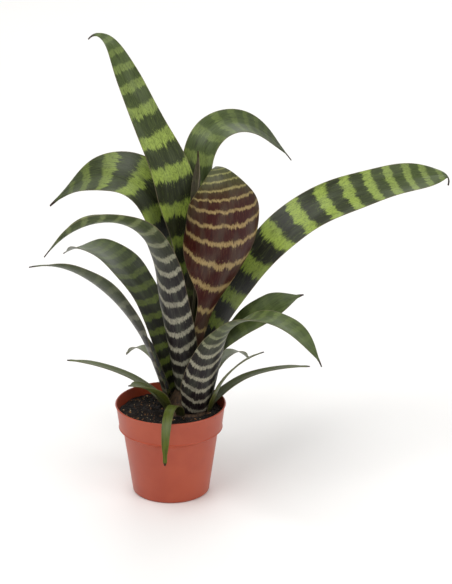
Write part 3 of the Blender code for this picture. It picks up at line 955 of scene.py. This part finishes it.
plastic = Recipe("terracotta_satin")
pot_place = plastic.place()
cloud = plastic.noise(pot_place, 26.0, 3.0)
grain = plastic.noise(pot_place, 900.0, 2.0)
smudge = plastic.noise(pot_place, 140.0, 4.0, 0.7)
height = plastic.node("ShaderNodeSeparateXYZ", {"Vector": pot_place}).outputs["Z"]
dirt = plastic.times(plastic.between(smudge, 0.60, 0.70), plastic.between(height, *RIM_DIRT_FROM_TO))
tone = plastic.mix(plastic.between(cloud, 0.35, 0.65), rgb("a34024"), rgb("ad4a2c"))
tone = plastic.mix(plastic.times(dirt, RIM_DIRT_STRENGTH), tone, rgb("3a241a"))
pot_gloss = plastic.between(cloud, 0.3, 0.7, 0.36, 0.46)
pot_bump = plastic.bump(grain, 0.12, 0.2 * MM)
terracotta = plastic.finish(Base_Color=tone, Roughness=pot_gloss, Normal=pot_bump)

# %% [markdown]
# A Geometry Nodes tree is built once and then used like a tool: it has named inputs for its sizes, and each
# piece that carries it sets them. The part has to be plain mesh in the end, so each tree makes its copies
# real and puts the finish on, and the result replaces the modifier.

# %% Tree helper
class Growth(Graph):
    """A Geometry Nodes tree under construction, with named inputs."""

    def __init__(self, name, **inputs):
        super().__init__(bpy.data.node_groups.new(name, "GeometryNodeTree"))
        kinds = {"Geometry": "Geometry", **inputs, "Finish": "Material"}
        for label, kind in kinds.items():
            self.tree.interface.new_socket(
                label.replace("_", " "), in_out="INPUT", socket_type="NodeSocket" + kind
            )
        self.tree.interface.new_socket("Geometry", in_out="OUTPUT", socket_type="NodeSocketGeometry")
        self.given = self.node("NodeGroupInput").outputs

    def close(self, last):
        """Makes instances real, puts the finish on and gives the tree back."""
        real = self.node("GeometryNodeRealizeInstances", {"Geometry": last})
        coat = self.node("GeometryNodeSetMaterial", {"Geometry": real, "Material": self.given["Finish"]})
        self.node("NodeGroupOutput", {"Geometry": coat})
        print("tree:", self.tree.name, "nodes:", len(self.tree.nodes))
        return self.tree


def grow(piece, tree, values):
    """Puts a node tree on a piece and sets its named inputs."""
    modifier = piece.modifiers.new(tree.name, "NODES")
    modifier.node_group = tree
    sockets = {s.name: s.identifier for s in tree.interface.items_tree if s.in_out == "INPUT"}
    for label, value in values.items():
        modifier[sockets[label]] = value


def make_plain(piece):
    """Works the piece's modifiers into its mesh and takes them off."""
    bpy.context.view_layer.update()
    evaluated = piece.evaluated_get(bpy.context.evaluated_depsgraph_get())
    mesh = bpy.data.meshes.new_from_object(evaluated)
    piece.modifiers.clear()
    piece.data = mesh


# %% [markdown]
# The section is swept along a very small circle on the axis, which is how a lathe is made from two curves.
# The points that meet on the axis are welded. One drill, repeated on a ring of points, makes the drain
# holes.

# %% Turned shell tree
RAIL_RADIUS = 1 * MM
WELD_DISTANCE = 0.001 * MM
DRILL_SIDES = 32


def turned_shell_tree():
    """A node group that turns a section round the upright axis and drills a ring of holes through it."""
    tree = Growth(
        "turned_shell", Sides="Int", Holes="Int", Hole_Ring="Float", Hole_Radius="Float",
        Hole_Depth="Float", Hole_Turn="Float",
    )
    given = tree.given
    section = tree.node("GeometryNodeMeshToCurve", {"Mesh": given["Geometry"]})
    circle = {"Resolution": given["Sides"], "Radius": RAIL_RADIUS}
    rail = tree.node("GeometryNodeCurvePrimitiveCircle", circle)
    upright = tree.node("GeometryNodeSetCurveNormal", {"Curve": rail}, mode="Z_UP")
    lathe = tree.node("GeometryNodeCurveToMesh", {"Curve": upright, "Profile Curve": section})
    shell = tree.node("GeometryNodeMergeByDistance", {"Geometry": lathe, "Distance": WELD_DISTANCE})

    ring = tree.node("GeometryNodeMeshCircle", {"Vertices": given["Holes"], "Radius": given["Hole Ring"]})
    turn = tree.join(0.0, 0.0, given["Hole Turn"])
    places = tree.node("GeometryNodeTransform", {"Geometry": ring, "Rotation": turn})
    round_bar = {"Vertices": DRILL_SIDES, "Radius": given["Hole Radius"], "Depth": given["Hole Depth"]}
    drill = tree.node("GeometryNodeMeshCylinder", round_bar)
    drills = tree.node("GeometryNodeInstanceOnPoints", {"Points": places, "Instance": drill})
    solid_drills = tree.node("GeometryNodeRealizeInstances", {"Geometry": drills})
    parts = {"Mesh 1": shell, "Mesh 2": solid_drills}
    return tree.close(tree.node("GeometryNodeMeshBoolean", parts, operation="DIFFERENCE", solver="EXACT"))


# %% Make the pot
EDGE_SOFTNESS = 0.22 * MM
SOFT_FROM_ANGLE = math.radians(28)
SHARP_FROM_ANGLE = math.radians(32)

section_points = [(radius - RAIL_RADIUS, -height, 0.0) for radius, height in reversed(pot_profile())]
section_mesh = bpy.data.meshes.new("pot_shell")
section_mesh.from_pydata(section_points, [(k, k + 1) for k in range(len(section_points) - 1)], [])
pot = add_object("pot_shell", section_mesh)
grow(pot, turned_shell_tree(), {
    "Sides": POT_SIDES, "Holes": DRAIN_HOLES, "Hole Ring": DRAIN_RING_RADIUS,
    "Hole Radius": DRAIN_HOLE_RADIUS, "Hole Depth": 4 * POT_FLOOR,
    "Hole Turn": 2 * math.pi * DRAIN_TURN / DRAIN_HOLES, "Finish": terracotta,
})
soften = pot.modifiers.new("soft_edges", "BEVEL")
soften.width = EDGE_SOFTNESS
soften.segments = 2
soften.limit_method = "ANGLE"
soften.angle_limit = SOFT_FROM_ANGLE
make_plain(pot)
pot.data.shade_smooth()
pot.data.set_sharp_from_angle(angle=SHARP_FROM_ANGLE)
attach(pot, "root")
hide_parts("pot")
print("pot faces:", len(pot.data.polygons))

# %% [markdown]
# ## The potting mix
#
# The mix is a dark uneven surface with loose things on it: crumbs of peat, chips of bark and a few pale
# grains. The ground could be sculpted, or lifted by a Displace modifier. It is computed here, because its
# lumps have to die away at the pot's wall and its hole has to fit the stem. It is one closed solid, turned
# from a section that follows the inside of the pot.

# %% Turned mesh
def turned_mesh(name, profile, sides, centre=(0.0, 0.0)):
    """A closed mesh turned round an upright axis. The first and last points of the profile are the poles."""
    angles = np.arange(sides) * 2 * np.pi / sides
    points = [(centre[0], centre[1], profile[0][1])]
    for radius, height in profile[1:-1]:
        points += [(centre[0] + radius * np.cos(t), centre[1] + radius * np.sin(t), height) for t in angles]
    points.append((centre[0], centre[1], profile[-1][1]))
    faces = []
    last = 1 + (len(profile) - 3) * sides
    for i in range(sides):
        j = (i + 1) % sides
        faces.append((0, 1 + j, 1 + i))
        faces.append((last + i, last + j, len(points) - 1))
        for low in range(1, last, sides):
            faces.append((low + i, low + j, low + sides + j, low + sides + i))
    mesh = bpy.data.meshes.new(name)
    mesh.from_pydata(points, [], faces)
    return mesh


# %% Section of the potting mix
SOIL_LUMP = 0.6 * MM
SOIL_RADIUS = 42.0 * MM
GROUND_RINGS = 46
GROUND_SIDES = 160
INSIDE_OF_POT = slice(14, 19)  # the section's points from the rim down to the floor


def inner_wall_radius(height):
    """Radius of the pot's inside at a height."""
    radii, heights = zip(*reversed(pot_profile()[INSIDE_OF_POT]))
    return float(np.interp(height, heights, radii))


edge_radius = inner_wall_radius(SOIL_LEVEL - 2 * SOIL_LUMP) - 2 * SEAT_GAP
shoulder = collar_foot()
wall = [POT_FLOOR + SEAT_GAP, POT_FLOOR + 2 * MM, shoulder - 2 * MM, shoulder + 2 * MM]
ground_profile = [(0, wall[0])] + [(inner_wall_radius(z) - 2 * SEAT_GAP, z) for z in wall]
ground_profile += [(edge_radius * (1 - ring / GROUND_RINGS), SOIL_LEVEL) for ring in range(GROUND_RINGS)]
ground_profile.append((0, SOIL_LEVEL))
ground_mesh = turned_mesh("soil_ground", ground_profile, GROUND_SIDES)
print("radius of the open soil in mm:", round(edge_radius / MM, 1))

# %% Lumps of the potting mix
LUMPS = 260
LUMP_SIZES = (1.2 * MM, 3.4 * MM)
LUMP_HEIGHT = 0.8 * MM
LUMP_LIMITS = (-1.0 * MM, 1.4 * MM)
RIM_FADE = 3 * MM
LUMP_SEED = 7


def soil_height(x, y):
    """The uneven top of the potting mix, from a few crossing waves."""
    waves = np.sin(x / (3.1 * MM) + 1.0) * np.sin(y / (3.7 * MM)) + 0.6 * np.sin((x + y) / (5.3 * MM) + 2.0)
    return SOIL_LEVEL + SOIL_LUMP * waves


draw = np.random.default_rng(LUMP_SEED)
lump_places = draw.uniform(-SOIL_RADIUS, SOIL_RADIUS, (LUMPS, 2))
lump_sizes = draw.uniform(*LUMP_SIZES, LUMPS)
lump_heights = draw.uniform(-0.5, 1.0, LUMPS) * LUMP_HEIGHT
for vertex in ground_mesh.vertices:
    if vertex.co.z >= SOIL_LEVEL - 1e-6:
        x, y = vertex.co.x, vertex.co.y
        far = np.hypot(lump_places[:, 0] - x, lump_places[:, 1] - y)
        lumps = float(np.sum(lump_heights * np.exp(-((far / lump_sizes) ** 2))))
        rim_fade = float(np.clip((edge_radius - math.hypot(x, y)) / RIM_FADE, 0, 1))
        vertex.co.z = float(soil_height(x, y)) + float(np.clip(lumps, *LUMP_LIMITS)) * rim_fade
top = max(vertex.co.z for vertex in ground_mesh.vertices)
print("highest lump above the soil's level in mm:", round((top - SOIL_LEVEL) / MM, 2))

# %% Hole for the stem
HOLE_SIDES = 64
HOLE_SECTION = ((0, -36.3), (5.3, -34.3), (8.3, -22.3), (17.9, -9.3), (19.9, -3), (19.9, 20), (0, 20))

ground = add_object("soil_ground", ground_mesh)
hole_side = [(radius * MM, SOIL_LEVEL + height * MM) for radius, height in HOLE_SECTION]
stem_hole = add_object("stem_hole", turned_mesh("stem_hole", hole_side, HOLE_SIDES, (STEM_X, STEM_Y)))
opening = ground.modifiers.new("stem_hole", "BOOLEAN")
opening.operation = "DIFFERENCE"
opening.solver = "EXACT"
opening.object = stem_hole
make_plain(ground)
bpy.data.objects.remove(stem_hole, do_unlink=True)
ground.data.shade_smooth()
print("ground faces:", len(ground.data.polygons))

# %% [markdown]
# Moist peat is almost black, rough at every scale and has no gloss. Two noises, one fine for the clods and
# one broad for the damp places, give more depth than any single brown, and strong bump breaks up the light
# between the crumbs.

# %% Ground finish
peat = Recipe("moist_peat")
peat_place = peat.place()
clods = peat.noise(peat_place, 420.0, 5.0, 0.7)
damp = peat.noise(peat_place, 60.0, 3.0)
dark = peat.mix(peat.between(clods, 0.35, 0.7), rgb("0a0705"), rgb("21150d"))
dark = peat.mix(peat.times(peat.between(damp, 0.4, 0.7), 0.35), dark, rgb("0c0806"))
moist_peat = peat.finish(Base_Color=dark, Roughness=0.85, Normal=peat.bump(clods, 0.9, 1.2 * MM))
ground.data.materials.clear()
ground.data.materials.append(moist_peat)
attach(ground, "root")
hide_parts("soil")

# %% [markdown]
# ## Loose crumbs by Geometry Nodes
#
# Thousands of loose crumbs lie on the mix. A particle system could drop them, or a texture could fake them,
# but only real small shapes catch the light and show at the edge. The tree below takes a surface, drops
# points on it, and puts a small rough stone at each point with its own turn and size. Its sizes are named
# inputs and its seed is fixed, so one tree serves for peat crumbs, pale grains and bark chips alike, and
# gives the same crumbs in every run.

# %% Scatter tree
STONE_DETAIL = 2
DENT_SCALE = 1.7
DENTS_FROM_TO = (0.25, 0.75, -0.38, 0.38)
FULL_TURN = (6.283, 6.283, 6.283)
SMALLEST_SHARE = 0.35


def rough_stone(tree):
    """A small ball that noise pushes in and out."""
    ball = tree.node("GeometryNodeMeshIcoSphere", {"Radius": 1.0, "Subdivisions": STONE_DETAIL})
    dents = tree.node("ShaderNodeTexNoise", {"Scale": DENT_SCALE})
    push = tree.node("ShaderNodeMapRange", dict(enumerate((dents, *DENTS_FROM_TO))))
    normal = tree.node("GeometryNodeInputNormal")
    bulge = tree.node("ShaderNodeVectorMath", {0: normal, "Scale": push}, operation="SCALE")
    return tree.node("GeometryNodeSetPosition", {"Geometry": ball, "Offset": bulge})


def scatter_tree():
    """A node group that scatters a small rough shape over the top of a mesh."""
    tree = Growth("scatter_crumbs", Density="Float", Size="Float", Flatness="Float", Seed="Int")
    given = tree.given
    seed = {"Seed": given["Seed"]}
    bed = {"Mesh": given["Geometry"], "Density": given["Density"], **seed}
    points = tree.node("GeometryNodeDistributePointsOnFaces", bed, distribute_method="RANDOM")
    turn = tree.node("FunctionNodeRandomValue", {"Max": FULL_TURN, **seed}, data_type="FLOAT_VECTOR")
    share = tree.node("FunctionNodeRandomValue", {2: SMALLEST_SHARE, 3: 1.0, **seed}, data_type="FLOAT")
    size = tree.times(share.outputs[1], given["Size"])
    scale = tree.join(size, size, tree.times(size, given["Flatness"]))
    crumbs = {"Points": points, "Instance": rough_stone(tree), "Rotation": turn, "Scale": scale}
    return tree.close(tree.node("GeometryNodeInstanceOnPoints", crumbs))


scatter = scatter_tree()


# %% [markdown]
# The crumbs lie on the open part of the mix only. Its top faces are copied as a bed, without those at the
# wall, round the stem or on a steep side, so that no crumb sticks through the pot or a leaf's foot.

# %% Bed for the crumbs
WALL_MARGIN = 1.6 * MM
STEM_MARGIN = 1.2 * MM
DEEPEST_BED = 2.5 * MM
STEEPEST_BED = 0.2


def top_of_soil(name):
    """The open top of the ground, inside the rim and clear of the stem, as a bed for loose crumbs."""
    bed = bmesh.new()
    bed.from_mesh(ground.data)
    bed.normal_update()
    away = []
    for face in bed.faces:
        middle = face.calc_center_median()
        out = math.hypot(middle.x, middle.y) > edge_radius - WALL_MARGIN
        near = math.hypot(middle.x - STEM_X, middle.y - STEM_Y) < STEM_FOOT_RADIUS + STEM_MARGIN
        if out or near or middle.z < SOIL_LEVEL - DEEPEST_BED or face.normal.z < STEEPEST_BED:
            away.append(face)
    bmesh.ops.delete(bed, geom=away, context="FACES")
    mesh = bpy.data.meshes.new(name)
    bed.to_mesh(mesh)
    bed.free()
    return add_object(name, mesh)


def scatter_piece(name, finish, density, size, flatness, seed):
    """Crumbs of one kind over the open soil, as one plain mesh."""
    bed = top_of_soil(name)
    grow(bed, scatter, {
        "Density": density, "Size": size, "Flatness": flatness, "Seed": seed, "Finish": finish,
    })
    make_plain(bed)
    bed.data.shade_smooth()
    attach(bed, "root")
    print(name, "faces:", len(bed.data.polygons))


# %% Crumbs, chips and grains
def crumb_finish(name, low, high, roughness):
    """A dull grain with two tones."""
    grainy = Recipe(name)
    place = grainy.place()
    mottle = grainy.noise(place, 700.0, 3.0)
    spread = grainy.noise(place, 90.0, 2.0)
    both = grainy.math("ADD", grainy.times(mottle, 0.5), grainy.times(spread, 0.5))
    colour = grainy.mix(grainy.between(both, 0.4, 0.6), low, high)
    return grainy.finish(Base_Color=colour, Roughness=roughness, Normal=grainy.bump(mottle, 0.6, 0.5 * MM))


peat_crumb = crumb_finish("peat_crumb", rgb("0b0705"), rgb("261911"), 0.9)
bark_chip = crumb_finish("bark_chip", rgb("4a2e1a"), rgb("8a6238"), 0.8)
pale_grain = crumb_finish("pale_grain", rgb("8f7248"), rgb("cbb58a"), 0.75)
scatter_piece("peat_crumbs", peat_crumb, 380000.0, 1.15 * MM, 0.75, 3)
scatter_piece("bark_chips", bark_chip, 26000.0, 1.45 * MM, 0.3, 11)
scatter_piece("pale_grains", pale_grain, 20000.0, 0.7 * MM, 0.7, 23)

# %% [markdown]
# ## The stem
#
# The stem is a short cone that the leaves hide almost completely. It could be replaced by a finer mesh as
# the leaves are, but nobody would see the difference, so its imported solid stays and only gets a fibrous
# brown finish. The noise is squeezed in height, which draws it out into upright threads.

# %% Stem finish
THREAD_SCALE = (500.0, 500.0, 60.0)

fibre = Recipe("stem_fibre")
stretched = fibre.node("ShaderNodeMapping", {"Vector": fibre.place(), "Scale": THREAD_SCALE})
threads = fibre.noise(stretched, 1.0, 4.0, 0.6)
brown = fibre.mix(fibre.between(threads, 0.3, 0.7), rgb("2a1d13"), rgb("5c452d"))
stem_finish = fibre.finish(Base_Color=brown, Roughness=0.8, Normal=fibre.bump(threads, 0.6, 0.6 * MM))
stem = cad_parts["stem"]
for place in stem.material_slots:
    place.material = stem_finish
